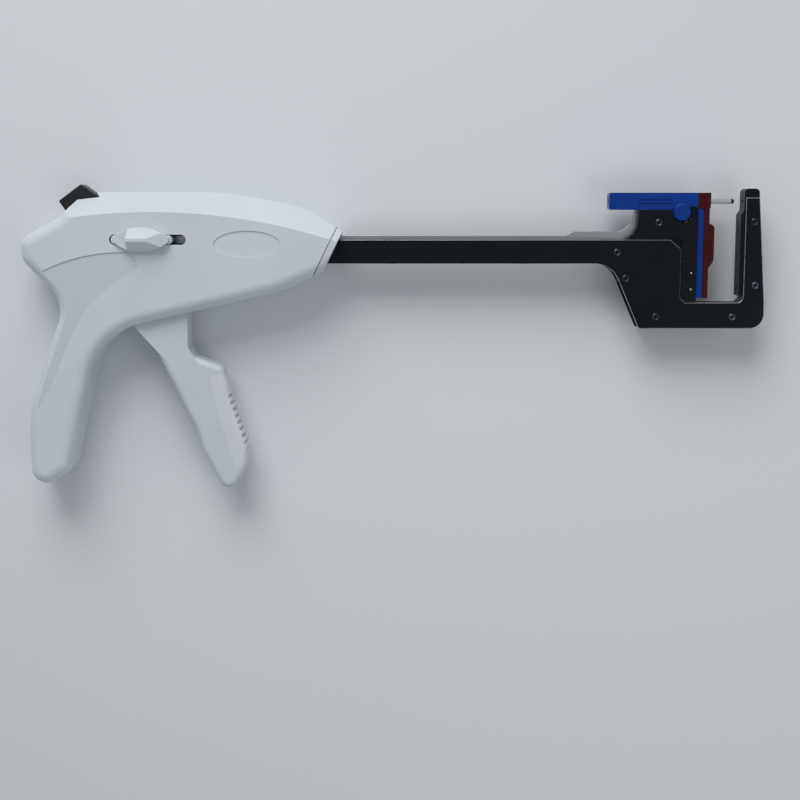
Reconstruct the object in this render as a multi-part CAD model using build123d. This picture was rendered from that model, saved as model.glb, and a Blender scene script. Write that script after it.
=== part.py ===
from build123d import *
import os
from math import atan2, cos, degrees, radians, sin

# Linear stapler lying on its left side, in millimetres.
# X runs towards the jaw, Y towards the top of the handle, Z up from the table.
# The trigger pivot is at X = Y = 0. Pieces are drawn about the mid-plane and lifted at the end.

# Handle
BODY_WIDTH = 30.0
WALL = 2.4
NOSE_REACH = 92.0
REAR_REACH = 66.0
TOP_RISE = 51.6
GRIP_DROP = 98.0
GRIP_DEPTH = 25.0
CREASE_DROP = 9.5
CREASE_RUN = 10.5
EDGE_RADIUS = 6.0
COLLAR_LENGTH = 4.0
NOSE_RAKE = 26.0
OVAL_LENGTH = 32.7
OVAL_HEIGHT = 13.2
RECESS_DEPTH = 0.5

# Frame and jaw
SHAFT_AXIS = 22.2
SHAFT_HEIGHT = 12.0
SHAFT_REACH = 125.0
FRAME_WIDTH = 12.0
PLATE = 1.6
EDGE_BREAK = 0.3
FRAME_EMBED = 44.0
THROAT_DEPTH = 31.2
THROAT_OPENING = 31.3
ARM_HEIGHT = 13.0
ANVIL_ARM = 10.6
ANVIL_PAD = 2.2
RIVET_RADIUS = 1.7

# Cartridge and staples
STAPLES_PER_ROW = 7
STAPLE_PITCH = 5.8
STAPLE_CROWN = 4.0
STAPLE_WIRE = 0.3
STAPLE_LEG = 3.4
ROW_SPACING = 3.0
CARTRIDGE_WIDTH = 8.0
BEAM_HEIGHT = 8.4
BEAM_LENGTH = 44.2
PIN_DIAMETER = 2.4
PIN_GAP = 2.6

# Moves
CLOSING_STROKE = 11.5
PIN_STROKE = 6.5
FIRING_STROKE = 2.5
BUTTON_STROKE = 3.0

# Trigger
PIVOT_DIAMETER = 5.0
TRIGGER_WIDTH = 16.0
TRIGGER_DROP = 99.8
RIB_COUNT = 9
RIB_PITCH = 3.5
RIB_DEPTH = 1.2
RIM_RADIUS = 3.0

# Clearances
FIT = 0.05
SLIP = 0.2
GAP = 0.4

HALF = BODY_WIDTH / 2
FRAME_HALF = FRAME_WIDTH / 2
CHANNEL_HALF = FRAME_HALF - PLATE
SHAFT_TOP = SHAFT_AXIS + SHAFT_HEIGHT / 2
SHAFT_BOTTOM = SHAFT_AXIS - SHAFT_HEIGHT / 2
JAW_X = NOSE_REACH + SHAFT_REACH
THROAT_X = JAW_X + 43.0
ANVIL_ARM_X = THROAT_X + THROAT_OPENING
ANVIL_FACE_X = ANVIL_ARM_X - ANVIL_PAD
FRAME_END_X = ANVIL_ARM_X + ANVIL_ARM
CROTCH_Y = SHAFT_TOP - THROAT_DEPTH
JAW_BOTTOM = CROTCH_Y - ARM_HEIGHT
FRONT = 200.0


def prism(outline, low, high):
    """Flat outline drawn in XY, thickened from Z low to Z high."""
    return Pos(0, 0, low) * extrude(make_face(outline), high - low)


def slab(x0, x1, y0, y1, half):
    """Block between two X values and two Y values, centred on the mid-plane."""
    return Pos((x0 + x1) / 2, (y0 + y1) / 2) * Box(x1 - x0, y1 - y0, 2 * half)


def rod(x, y, radius, low, high):
    """Round bar along Z."""
    return Pos(x, y, (low + high) / 2) * Cylinder(radius, high - low)


def rod_x(x0, x1, y, radius):
    """Round bar along X on the mid-plane."""
    return Pos((x0 + x1) / 2, y) * Rot(0, 90, 0) * Cylinder(radius, x1 - x0)


def rounded(points, radius):
    """Closed polygon with every corner rounded alike."""
    return FilletPolyline(*points, radius=radius, close=True)


def soft_face(corners):
    """Face bounded by straight lines, with an arc of its own radius at each corner."""
    points = [(x, y) for x, y, _ in corners]
    return make_face(FilletPolyline(*points, radius=[r for _, _, r in corners], close=True))


def both_sides(solid):
    return solid + mirror(solid, about=Plane.XY)


# Handle

TOP_REAR = 31.0 - REAR_REACH
GRIP_BACK = 1.0 - REAR_REACH
GRIP_FRONT = GRIP_BACK + GRIP_DEPTH
HANDLE_CORNERS = [
    (TOP_REAR, TOP_RISE, 12.0),
    (33.0, TOP_RISE, 120.0),
    (NOSE_REACH - 15, TOP_RISE - 8.0, 60.0),
    (NOSE_REACH + 8, SHAFT_AXIS + 3.5, 7.5),
    (NOSE_REACH - 8, SHAFT_BOTTOM - 3.2, 12.0),
    (NOSE_REACH - 30, SHAFT_BOTTOM - 13.2, 60.0),
    (GRIP_FRONT + 10.6, -18.0, 36.0),
    (GRIP_FRONT - 5.6, 10.5 - GRIP_DROP, 9.0),
    (GRIP_BACK + 0.4, -2.0 - GRIP_DROP, 7.5),
    (GRIP_BACK, -0.58 * GRIP_DROP, 60.0),
    (GRIP_BACK + 19.6, -2.4, 17.0),
    (-REAR_REACH, 18.2, 10.0),
    (-REAR_REACH - 0.2, 29.0, 7.0),
    (TOP_REAR - 11.0, TOP_RISE - 11.6, 10.0),
]


def handle_outline(wall=0.0):
    """Side outline of the handle in straight lines and arcs, drawn in by a wall."""
    face = soft_face(HANDLE_CORNERS)
    return offset(face, -wall) if wall else face


def above_crease(wall=0.0):
    """What lies above the crease on the side face, leaning in over the top of the handle."""
    side = HALF - wall
    rear, middle, nose = (-48.0, TOP_RISE - 13.6), (10.0, TOP_RISE - 10.0), (NOSE_REACH, SHAFT_TOP - 1.6)
    line = ThreePointArc(rear, middle, nose)
    rest = Polyline(nose, (FRONT, 0), (FRONT, FRONT), (-FRONT, FRONT), (-FRONT, 0), rear)
    field = Pos(0, -wall, side) * make_face(Curve() + [line, rest])
    return extrude(field, 2 * CREASE_DROP, dir=(0, CREASE_DROP, -CREASE_RUN))


def handle_half():
    """Outer form of the half that faces up, from the mid-plane to its flat side."""
    form = extrude(handle_outline(), HALF)
    form = fillet(form.faces().sort_by(Axis.Z)[-1].edges(), EDGE_RADIUS)
    return form - above_crease()


def handle_hollow(slack=0.0):
    """Room inside one half: wide near the mid-plane, smaller towards the rounded side."""
    middle = HALF - EDGE_RADIUS
    deep = extrude(handle_outline(WALL + slack), middle - slack)
    side = extrude(handle_outline(WALL + 0.45 * EDGE_RADIUS + slack), HALF - WALL - slack)
    return deep + side - above_crease(WALL + slack)


def ahead_of_nose(back):
    """Everything in front of the raked nose plane, moved back along X."""
    corner = Pos(NOSE_REACH - back, SHAFT_TOP + 3.8) * Rot(0, 0, -NOSE_RAKE)
    return corner * Box(FRONT, FRONT, FRONT, align=(Align.MIN, Align.CENTER, Align.CENTER))


# Trigger placing

HUB_RADIUS = 7.0
HUB_HALF = TRIGGER_WIDTH / 2
BOSS_RADIUS = PIVOT_DIAMETER / 2 + 2.5
ARM_TILT = degrees(atan2(CLOSING_STROKE / 2, SHAFT_AXIS))
DRIVE_PIN_X = -CLOSING_STROKE / 2
DRIVE_PIN_RADIUS = 2.0
ARM_HALF = 1.4

# Pin slide placing

BAR_HALF = 1.5
BAR_HEIGHT = 4.0
BAR_BOTTOM = SHAFT_TOP - 2.0
BAR_TOP = BAR_BOTTOM + BAR_HEIGHT
SLOT_Y = BAR_BOTTOM + BAR_HEIGHT / 2 + 0.2
SLOT_HEIGHT = 5.0
SLOT_REAR = -21.7
KNOB_LENGTH = 29.6
KNOB_HEIGHT = 12.2
KNOB_RISE = 7.0
STEM_LENGTH = KNOB_LENGTH + 0.4
SLOT_LENGTH = STEM_LENGTH + PIN_STROKE + 1.0
STEM_REAR = SLOT_REAR + 0.8

# Button placing: q runs along its top face, h outwards against the press, from its top corner

PRESS_ANGLE = -55.4
BUTTON_HALF = 5.5
BUTTON_X = TOP_REAR - 1.8
BUTTON_Y = TOP_RISE + 3.8
BUTTON_LOW_Q = -13.9
BUTTON_HIGH_Q = 3.7
STEM_FOOT = -18.5
SPRING_RADIUS = 2.4
SPRING_LENGTH = BUTTON_STROKE + 4.0
SPRING_Z = 2.6


def button_spot(q, h):
    """Point of the button's own drawing, in handle X and Y."""
    turn = radians(PRESS_ANGLE)
    return (BUTTON_X - q * sin(turn) - h * cos(turn), BUTTON_Y + q * cos(turn) - h * sin(turn))


# Latch placing

PAWL_X = TOP_REAR + 11.0
PAWL_Y = TOP_RISE - 22.1
PAWL_LOW = -4.3
PAWL_HIGH = -2.7
PAWL_PIN = 1.5

# Studs that hold the tail of the frame

STUD_RADIUS = 1.6
STUD_REACH = 4.0
STUD_X = [NOSE_REACH - 39, NOSE_REACH - 21]
LEAF_X = 24.0
LEAF_Y = 3.0
LEAF = 0.6


def boss(x, y, outer, inner, low, depth):
    """Round post from the side wall down to a height, with a blind hole for a pin."""
    post = rod(x, y, outer, low, HALF - WALL + 0.5)
    return post - rod(x, y, inner, low, low + depth)


PIVOT_SEAT = HALF - WALL - HUB_HALF - SLIP - 1.0


def plain_shell():
    """Shell of the upper half with what both halves share."""
    shell = handle_half() - handle_hollow()
    shell += boss(0, 0, BOSS_RADIUS, PIVOT_DIAMETER / 2, HUB_HALF + SLIP, PIVOT_SEAT)
    for x in STUD_X:
        shell += boss(x, SHAFT_AXIS, 2 * STUD_RADIUS, STUD_RADIUS, FRAME_HALF, STUD_REACH)
    shell -= ahead_of_nose(COLLAR_LENGTH)
    mouth = HUB_HALF + GAP
    shell -= slab(-2.8 * HUB_RADIUS, 2.6 * HUB_RADIUS, -40.0, -3.0, mouth)
    low, high = BUTTON_LOW_Q - SLIP, BUTTON_HIGH_Q + SLIP
    foot = STEM_FOOT - BUTTON_STROKE - 1.0
    corners = [(low, foot), (high, foot), (high, 0), (low, 0)]
    window = Polyline(*[button_spot(q, h) for q, h in corners], close=True)
    return shell - prism(window, -BUTTON_HALF - SLIP, BUTTON_HALF + SLIP)


OVAL_X = NOSE_REACH - 46.4
OVAL_Y = SHAFT_AXIS + 4.0


def palm_panel():
    """Shallow field behind the slider that gives the palm some hold."""
    top = Spline((-62.0, 9.0), (-43.0, 18.1), (-27.3, 21.6), (-13.0, 22.4))
    front = Spline((-13.0, 22.4), (-8.6, 18.0), (-8.9, 13.5))
    low = Spline((-8.9, 13.5), (-22.4, 4.9), (-35.0, -7.4), (-43.5, -23.0), (-62.0, -58.0))
    rear = Polyline((-62.0, -58.0), (-90.0, -58.0), (-90.0, 9.0), (-62.0, 9.0))
    return prism(Curve() + [top, front, low, rear], HALF - RECESS_DEPTH, HALF + 1)


def right_handle_shell():
    shell = plain_shell()
    slot = Pos(SLOT_REAR + SLOT_LENGTH / 2, SLOT_Y) * SlotOverall(SLOT_LENGTH, SLOT_HEIGHT)
    shell -= extrude(slot, HALF + 1)
    oval = Pos(OVAL_X, OVAL_Y, HALF) * Ellipse(OVAL_LENGTH / 2, OVAL_HEIGHT / 2)
    shell -= extrude(oval, RECESS_DEPTH, both=True)
    shell -= palm_panel()
    x, y = button_spot(-1.2, STEM_FOOT - SPRING_LENGTH - 1)
    shelf = Pos(x, y) * Rot(0, 0, PRESS_ANGLE + 90) * Box(7, 2, 2 * HALF)
    span = HALF - WALL + 0.3 - (SPRING_Z - SPRING_RADIUS)
    shelf &= Pos(0, 0, SPRING_Z - SPRING_RADIUS + span / 2) * Box(FRONT, FRONT, span)
    return shell + shelf


def left_handle_shell():
    shell = plain_shell()
    oval = Pos(OVAL_X, OVAL_Y, HALF) * Ellipse(OVAL_LENGTH / 2, OVAL_HEIGHT / 2)
    shell -= extrude(oval, RECESS_DEPTH, both=True)
    post = -PAWL_LOW + GAP
    shell += boss(PAWL_X, PAWL_Y, 2 * PAWL_PIN, PAWL_PIN, post, STUD_REACH)
    block = Pos(LEAF_X + 2.5, LEAF_Y) * Box(7, 5, 2 * HALF)
    block &= Pos(0, 0, HALF / 2 - 1 - WALL / 2) * Box(FRONT, FRONT, HALF - WALL + 2.6)
    shell += block
    shell = mirror(shell, about=Plane.XY)
    return shell - leaf_strip(2 * ARM_HALF)


def leaf_strip(width):
    """Bent strip from its block in the shell to the front of the drive arm."""
    tilt = radians(ARM_TILT)
    tip_x = -13 * sin(tilt) + 4.3 * cos(tilt)
    tip_y = 13 * cos(tilt) + 4.3 * sin(tilt)
    line = Spline((LEAF_X + 3, LEAF_Y), (LEAF_X - 6, LEAF_Y + 1.2), (tip_x, tip_y))
    away = Pos(0.25 * LEAF, LEAF) * line
    ends = [Line(line @ 0, away @ 0), Line(line @ 1, away @ 1)]
    return prism(Curve() + [line, away] + ends, -width / 2, width / 2)


def nose_collar():
    """Ring that closes the nose round the shaft, with a lip inside the shells."""
    form = both_sides(handle_half())
    ring = form - ahead_of_nose(0)
    ring &= ahead_of_nose(COLLAR_LENGTH - GAP)
    lip = both_sides(handle_hollow(SLIP)) - ahead_of_nose(COLLAR_LENGTH - GAP)
    lip &= ahead_of_nose(COLLAR_LENGTH + 5)
    hole = slab(0, FRONT, SHAFT_BOTTOM - SLIP / 2, BAR_TOP + SLIP, FRAME_HALF + SLIP / 2)
    return ring + lip - hole


# Staple line, shared by the anvil, the cartridge, the driver and the staples

CARTRIDGE_FLOOR = CROTCH_Y + 2.2
STAPLE_LINE = (STAPLES_PER_ROW - 1) * STAPLE_PITCH + STAPLE_CROWN
LINE_LOW = CARTRIDGE_FLOOR + 1.2
BEAM_LOW = LINE_LOW + STAPLE_LINE + 3.6
PIN_Y = BEAM_LOW + BEAM_HEIGHT / 2


def staple_spots():
    """Middle of each staple: a full row, and a row of one less set half a pitch up."""
    spots = []
    for row, side in enumerate((-1, 1)):
        for i in range(STAPLES_PER_ROW - row):
            y = LINE_LOW + STAPLE_CROWN / 2 + (i + row / 2) * STAPLE_PITCH
            spots.append((y, side * ROW_SPACING / 2))
    return spots


# Frame and jaw

ANVIL_ARM_TOP = PIN_Y + 1.8
RIVETS = [
    (THROAT_X - 12.1, JAW_BOTTOM + 5.9),
    (THROAT_X + 26.1, JAW_BOTTOM + 5.9),
    (ANVIL_ARM_X + 5.8, CROTCH_Y + 8.6),
    (ANVIL_ARM_X + 4.4, ANVIL_ARM_TOP - 11.8),
]
SPACER_SPOT = (JAW_X + 15.5, SHAFT_BOTTOM - 7.1)
GUIDE_SPOT = (JAW_X + 11.1, SHAFT_AXIS - 0.2)
FRAME_TAIL_X = NOSE_REACH - FRAME_EMBED
STEM_LOW = ANVIL_ARM_TOP - 9.0


def frame_plate():
    """Shaft and C-shaped jaw cut from one sheet, on the side that faces up."""
    slope_x = JAW_X + 8.6
    foot_x = slope_x + (SHAFT_BOTTOM - JAW_BOTTOM) / 2.32
    points = [
        (FRAME_TAIL_X, SHAFT_TOP),
        (THROAT_X - 5.6, SHAFT_TOP),
        (THROAT_X, SHAFT_TOP - 4.8),
        (THROAT_X, CROTCH_Y),
        (ANVIL_ARM_X, CROTCH_Y),
        (ANVIL_ARM_X, ANVIL_ARM_TOP),
        (FRAME_END_X - 3.8, ANVIL_ARM_TOP),
        (FRAME_END_X, CROTCH_Y),
        (FRAME_END_X, JAW_BOTTOM),
        (foot_x, JAW_BOTTOM),
        (slope_x, SHAFT_BOTTOM),
        (FRAME_TAIL_X, SHAFT_BOTTOM),
    ]
    sheet = make_face(Polyline(*points, close=True))
    corner = sheet.vertices()
    sheet = fillet(corner.sort_by_distance((THROAT_X, CROTCH_Y))[0], 3.3)
    sheet = fillet(sheet.vertices().sort_by_distance((ANVIL_ARM_X, CROTCH_Y))[0], 3.3)
    sheet = fillet(sheet.vertices().sort_by_distance((FRAME_END_X, JAW_BOTTOM))[0], 7.0)
    sheet = fillet(sheet.vertices().sort_by_distance((foot_x, JAW_BOTTOM))[0], 2.0)
    sheet = fillet(sheet.vertices().sort_by_distance((slope_x, SHAFT_BOTTOM))[0], 13.0)
    plate = Pos(0, 0, CHANNEL_HALF) * extrude(sheet, PLATE)
    plate = chamfer(plate.faces().sort_by(Axis.Z)[-1].edges(), EDGE_BREAK)
    for x, y in RIVETS + [SPACER_SPOT, GUIDE_SPOT]:
        plate -= rod(x, y, RIVET_RADIUS, 0, HALF)
    for x in STUD_X:
        plate -= rod(x, SHAFT_AXIS, STUD_RADIUS, 0, HALF)
    return plate


def jaw_core():
    """Steel between the plates under the throat and up the anvil arm."""
    left = THROAT_X - 16
    right = FRAME_END_X - 3.8
    top = STEM_LOW
    points = [
        (left, CROTCH_Y),
        (ANVIL_ARM_X, CROTCH_Y),
        (ANVIL_ARM_X, top),
        (right, top),
        (FRAME_END_X - 0.6, CROTCH_Y),
        (FRAME_END_X - 0.6, JAW_BOTTOM + 0.6),
        (left, JAW_BOTTOM + 0.6),
    ]
    sheet = make_face(Polyline(*points, close=True))
    sheet = fillet(sheet.vertices().sort_by_distance((ANVIL_ARM_X, CROTCH_Y))[0], 3.3)
    sheet = fillet(sheet.vertices().sort_by_distance((FRAME_END_X, JAW_BOTTOM))[0], 6.6)
    core = extrude(sheet, CHANNEL_HALF, both=True)
    for x, y in RIVETS:
        core -= rod(x, y, RIVET_RADIUS, -HALF, HALF)
    return core


def frame_rivets():
    """Rivets through the frame, and one short stud in each plate at the guide spot."""
    head = 0.3
    group = []
    for x, y in RIVETS + [SPACER_SPOT]:
        group.append(rod(x, y, RIVET_RADIUS, -FRAME_HALF - head, FRAME_HALF + head))
    x, y = GUIDE_SPOT
    group.append(rod(x, y, RIVET_RADIUS, CHANNEL_HALF, FRAME_HALF + head))
    group.append(rod(x, y, RIVET_RADIUS, -FRAME_HALF - head, -CHANNEL_HALF))
    return Compound(group)


def frame_spacer():
    x, y = SPACER_SPOT
    tube = rod(x, y, RIVET_RADIUS + 1.6, -CHANNEL_HALF, CHANNEL_HALF)
    return tube - rod(x, y, RIVET_RADIUS, -HALF, HALF)


def frame_anchor_studs():
    group = []
    for x in STUD_X:
        stud = rod(x, SHAFT_AXIS, STUD_RADIUS, CHANNEL_HALF, FRAME_HALF + STUD_REACH - SLIP)
        group += [stud, mirror(stud, about=Plane.XY)]
    return Compound(group)


ANVIL_HALF = FRAME_HALF - 0.8
ANVIL_TOP = PIN_Y + 6.2
ANVIL_SETBACK = ANVIL_ARM_X - 0.6


def anvil():
    """Forming plate on the arm, set back above the staples to a rounded head that takes the pin."""
    line_top = LINE_LOW + STAPLE_LINE + 1.2
    face = Polyline(
        (ANVIL_FACE_X, CROTCH_Y + 3.3),
        (ANVIL_FACE_X, line_top),
        (ANVIL_SETBACK, line_top + 2.5),
        (ANVIL_SETBACK, ANVIL_ARM_TOP + 1.0),
        (ANVIL_ARM_X, ANVIL_ARM_TOP + 1.0),
        (ANVIL_ARM_X, CROTCH_Y + 3.3),
        close=True,
    )
    stem = slab(ANVIL_ARM_X, FRAME_END_X - 4.6, STEM_LOW, ANVIL_ARM_TOP, CHANNEL_HALF)
    head = [
        (ANVIL_SETBACK, ANVIL_ARM_TOP, 0.2),
        (ANVIL_SETBACK, ANVIL_TOP, 2.0),
        (FRAME_END_X - 4.0, ANVIL_TOP, 2.0),
        (FRAME_END_X - 3.8, ANVIL_ARM_TOP, 0.2),
    ]
    block = stem + prism(face, -ANVIL_HALF, ANVIL_HALF) + extrude(soft_face(head), ANVIL_HALF, both=True)
    pin_end = ANVIL_FACE_X - PIN_GAP + PIN_STROKE + 1.0
    block -= rod_x(ANVIL_FACE_X - 1, pin_end, PIN_Y, PIN_DIAMETER / 2 + SLIP)
    for y, z in staple_spots():
        pocket = Pos(ANVIL_FACE_X, y, z) * Box(0.8, STAPLE_CROWN + 0.6, 0.9)
        block -= pocket
    return block


# Carriage, cartridge and cap

CARRIAGE_HALF = CHANNEL_HALF - SLIP
CAVITY_HALF = CARRIAGE_HALF - 1.4
CARRIAGE_FRONT = THROAT_X + 7.8
CARRIAGE_BACK = THROAT_X - 14.0
POCKET_X = THROAT_X + 2.0
CARTRIDGE_FACE = CARRIAGE_FRONT + 3.4
CHEEK_LOW = SHAFT_TOP + 0.3
BLOCK_TOP = BEAM_LOW + 0.8
BEAM_FRONT = CARRIAGE_FRONT + 0.4
BEAM_REAR = BEAM_FRONT - BEAM_LENGTH
BOSS_X = THROAT_X
DISC_Y = BEAM_LOW - 1.2
DISC_RADIUS = 4.5
BAR_RISE_X = JAW_X + 14.0
CHEEK_RIVET = (THROAT_X - 11.6, (CHEEK_LOW + BEAM_LOW) / 2 + 1.0)


def carriage():
    """Sliding holder: thin walls between the plates, wide cheeks and housing outside them."""
    top = BEAM_LOW
    rise = Spline(
        (BAR_RISE_X + 0.9, CHEEK_LOW),
        (BAR_RISE_X + 6.0, CHEEK_LOW + 4.4),
        (BAR_RISE_X + 7.5, top),
        tangents=[(1, 0.5), (0.1, 1)],
    )
    notch = DISC_RADIUS + GAP
    sides = [
        (BAR_RISE_X + 7.5, top),
        (BOSS_X, top),
        (BOSS_X, top + 1.7),
        (CARRIAGE_FRONT - 1.2, top + 1.7),
        (CARRIAGE_FRONT, top + 0.5),
        (CARRIAGE_FRONT, CROTCH_Y + 0.8),
        (THROAT_X + 3.4, CROTCH_Y + 0.8),
        (THROAT_X + 0.4, CROTCH_Y + 3.6),
        (THROAT_X + 0.4, CHEEK_LOW),
        (BAR_RISE_X + 0.9, CHEEK_LOW),
    ]
    wide = prism(Curve() + [rise, Polyline(*sides)], -FRAME_HALF, FRAME_HALF)
    wide -= rod(BOSS_X, DISC_Y, notch, -HALF, HALF)
    thin = slab(CARRIAGE_BACK, THROAT_X + 1, CROTCH_Y + 0.8, CHEEK_LOW + 1, CARRIAGE_HALF)
    body = wide + thin
    body -= slab(CARRIAGE_BACK + 2.5, FRONT * 2, CROTCH_Y + 2.2, FRONT, CAVITY_HALF)
    body -= slab(BAR_RISE_X, CARRIAGE_BACK + 3, SHAFT_BOTTOM + 1.5, FRONT, CAVITY_HALF)
    body -= slab(POCKET_X, FRONT * 2, CARTRIDGE_FLOOR, FRONT, CARTRIDGE_WIDTH / 2)
    x, y = CHEEK_RIVET
    return body - rod(x, y, RIVET_RADIUS, -HALF, HALF) - locator_pins()


def locator_pins():
    """Two small pins on each side that hold the cartridge in its housing."""
    pins = []
    for y in (CARTRIDGE_FLOOR + 4.4, CARTRIDGE_FLOOR + 12.5):
        pin = rod(CARRIAGE_FRONT - 2.7, y, 0.5, CARTRIDGE_WIDTH / 2, FRAME_HALF + 0.1)
        pins += [pin, mirror(pin, about=Plane.XY)]
    return Compound(pins)


def carriage_rivet():
    """One short rivet in each cheek, clear of the bar that slides between them."""
    x, y = CHEEK_RIVET
    rivet = rod(x, y, RIVET_RADIUS, CAVITY_HALF, FRAME_HALF + 0.3)
    return Compound([rivet, mirror(rivet, about=Plane.XY)])


DOG_FRONT = BAR_RISE_X + 11.0
DOG_REAR = BAR_RISE_X + 6.0


def cartridge_body():
    """Blue cartridge: upright block with staple slots, and the beam that guides the pin."""
    half = CARTRIDGE_WIDTH / 2
    block = slab(POCKET_X, CARTRIDGE_FACE, CARTRIDGE_FLOOR, BLOCK_TOP, half)
    beam = slab(BEAM_REAR, BEAM_FRONT, BEAM_LOW, BEAM_LOW + BEAM_HEIGHT, half)
    ends = beam.edges().filter_by(Axis.Z).group_by(Axis.X)[0]
    beam = chamfer(ends, 0.8)
    disc = rod(BOSS_X, DISC_Y, DISC_RADIUS, -FRAME_HALF, FRAME_HALF)
    disc = chamfer(disc.edges().filter_by(GeomType.CIRCLE), 0.7)
    body = block + beam + disc
    for y, height in ((PIN_Y + 0.7, 0.9), (PIN_Y - 1.9, 2.4)):
        groove = slab(BEAM_REAR + 14.6, BOSS_X - 5.0, y - height / 2, y + height / 2, half)
        body -= groove - slab(BEAM_REAR, BOSS_X, BEAM_LOW, BEAM_LOW + BEAM_HEIGHT, half - 0.6)
    body -= slab(CARRIAGE_BACK, POCKET_X, CARTRIDGE_FLOOR, BEAM_LOW, CAVITY_HALF)
    body -= rod_x(BEAM_REAR - 1, BEAM_FRONT + 1, PIN_Y, PIN_DIAMETER / 2 + SLIP)
    back = DOG_REAR - CLOSING_STROKE - 0.5
    body -= slab(back, DOG_FRONT + PIN_STROKE + 0.5, BEAM_LOW - 1, PIN_Y, BAR_HALF + SLIP)
    for y, z in staple_spots():
        body -= Pos(POCKET_X, y, z) * Box(40, STAPLE_CROWN + 0.6, 0.9)
    return body


HEAD_THICKNESS = 3.0
HEAD_X = POCKET_X - 2 * HEAD_THICKNESS - FIRING_STROKE - 2.9
FINGER_TIP = CARTRIDGE_FACE - STAPLE_LEG - FIRING_STROKE - 0.5


def staple_driver():
    """Comb with one flat finger behind each staple."""
    low = LINE_LOW - 0.6
    high = LINE_LOW + STAPLE_LINE + 0.2
    back = HEAD_X + HEAD_THICKNESS
    comb = slab(back, back + HEAD_THICKNESS, low, high, CAVITY_HALF - SLIP)
    length = FINGER_TIP - back
    for y, z in staple_spots():
        comb += Pos(back + length / 2, y, z) * Box(length, STAPLE_CROWN, 0.6)
    return comb


def staples():
    """Open staples with their crowns on the driver's fingers and legs towards the anvil."""
    group = []
    for y, z in staple_spots():
        crown = Pos(FINGER_TIP + STAPLE_WIRE / 2, y, z) * Box(STAPLE_WIRE, STAPLE_CROWN, STAPLE_WIRE)
        for side in (-1, 1):
            spot = y + side * (STAPLE_CROWN - STAPLE_WIRE) / 2
            crown += Pos(FINGER_TIP + STAPLE_LEG / 2, spot, z) * Box(STAPLE_LEG, STAPLE_WIRE, STAPLE_WIRE)
        group.append(crown.solid())
    return Compound(group)


CAP_HALF = CARTRIDGE_WIDTH / 2 + 1.2
CAP_BACK = CARTRIDGE_FACE
CAP_STRIP = 2.4
CAP_BULGE = 3.0


def staple_cap():
    """Red guard over the staple face: strip, block round the pin, and pull tab."""
    top = BEAM_LOW + BEAM_HEIGHT
    strip = slab(CAP_BACK, CAP_BACK + CAP_STRIP, CARTRIDGE_FLOOR, top, CAP_HALF)
    block = slab(BEAM_FRONT, CAP_BACK + CAP_STRIP + 0.6, BLOCK_TOP, top, CAP_HALF - 0.6)
    edge = CAP_BACK + CAP_STRIP
    lobe = [
        (edge - 1.5, CARTRIDGE_FLOOR + 12.0, 1.2),
        (edge + CAP_BULGE, CARTRIDGE_FLOOR + 18.4, 4.0),
        (edge + CAP_BULGE, CARTRIDGE_FLOOR + 36.2, 2.4),
        (edge - 1.5, CARTRIDGE_FLOOR + 37.2, 1.2),
    ]
    tab = extrude(soft_face(lobe), CAP_HALF - 1.0, both=True)
    sides = tab.faces().sort_by(Axis.Z)
    cap = strip + block + fillet(sides[0].edges() + sides[-1].edges(), 1.0)
    return cap - rod_x(BEAM_FRONT - 1, edge + CAP_BULGE, PIN_Y, PIN_DIAMETER / 2 + SLIP)


# Closing and firing bars

WEB = 1.2
CLOSER_HALF = CARRIAGE_HALF - 0.1
CLOSER_BOTTOM = SHAFT_BOTTOM + GAP
CLOSER_TOP = BAR_BOTTOM - 0.6
FORK_X = DRIVE_PIN_X - 6.0


def closing_bar():
    """Channel that pushes the carriage, open at the rear as a fork for the drive pin."""
    bar = slab(FORK_X, CARRIAGE_BACK, CLOSER_BOTTOM, CLOSER_TOP, CLOSER_HALF)
    bar -= slab(FORK_X - 1, CARRIAGE_BACK + 1, CLOSER_BOTTOM + WEB, FRONT, CLOSER_HALF - WEB)
    bar -= slab(FORK_X - 1, 18.0, 0, FRONT, CLOSER_HALF - WEB)
    return bar - rod(DRIVE_PIN_X, SHAFT_AXIS, DRIVE_PIN_RADIUS, -HALF, HALF)


def drive_pin():
    return rod(DRIVE_PIN_X, SHAFT_AXIS, DRIVE_PIN_RADIUS, -CLOSER_HALF, CLOSER_HALF)


def firing_bar():
    """Flat bar inside the channel, with a tall head behind the staple driver."""
    low = CLOSER_BOTTOM + WEB + GAP
    high = CLOSER_TOP - GAP
    bar = slab(20.0, HEAD_X + 1, low, high, BAR_HALF)
    head_low = CROTCH_Y + 2.2 + GAP
    head_high = BEAM_LOW - GAP
    return bar + slab(HEAD_X, HEAD_X + HEAD_THICKNESS, head_low, head_high, CAVITY_HALF - SLIP)


# Pin slide

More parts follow.
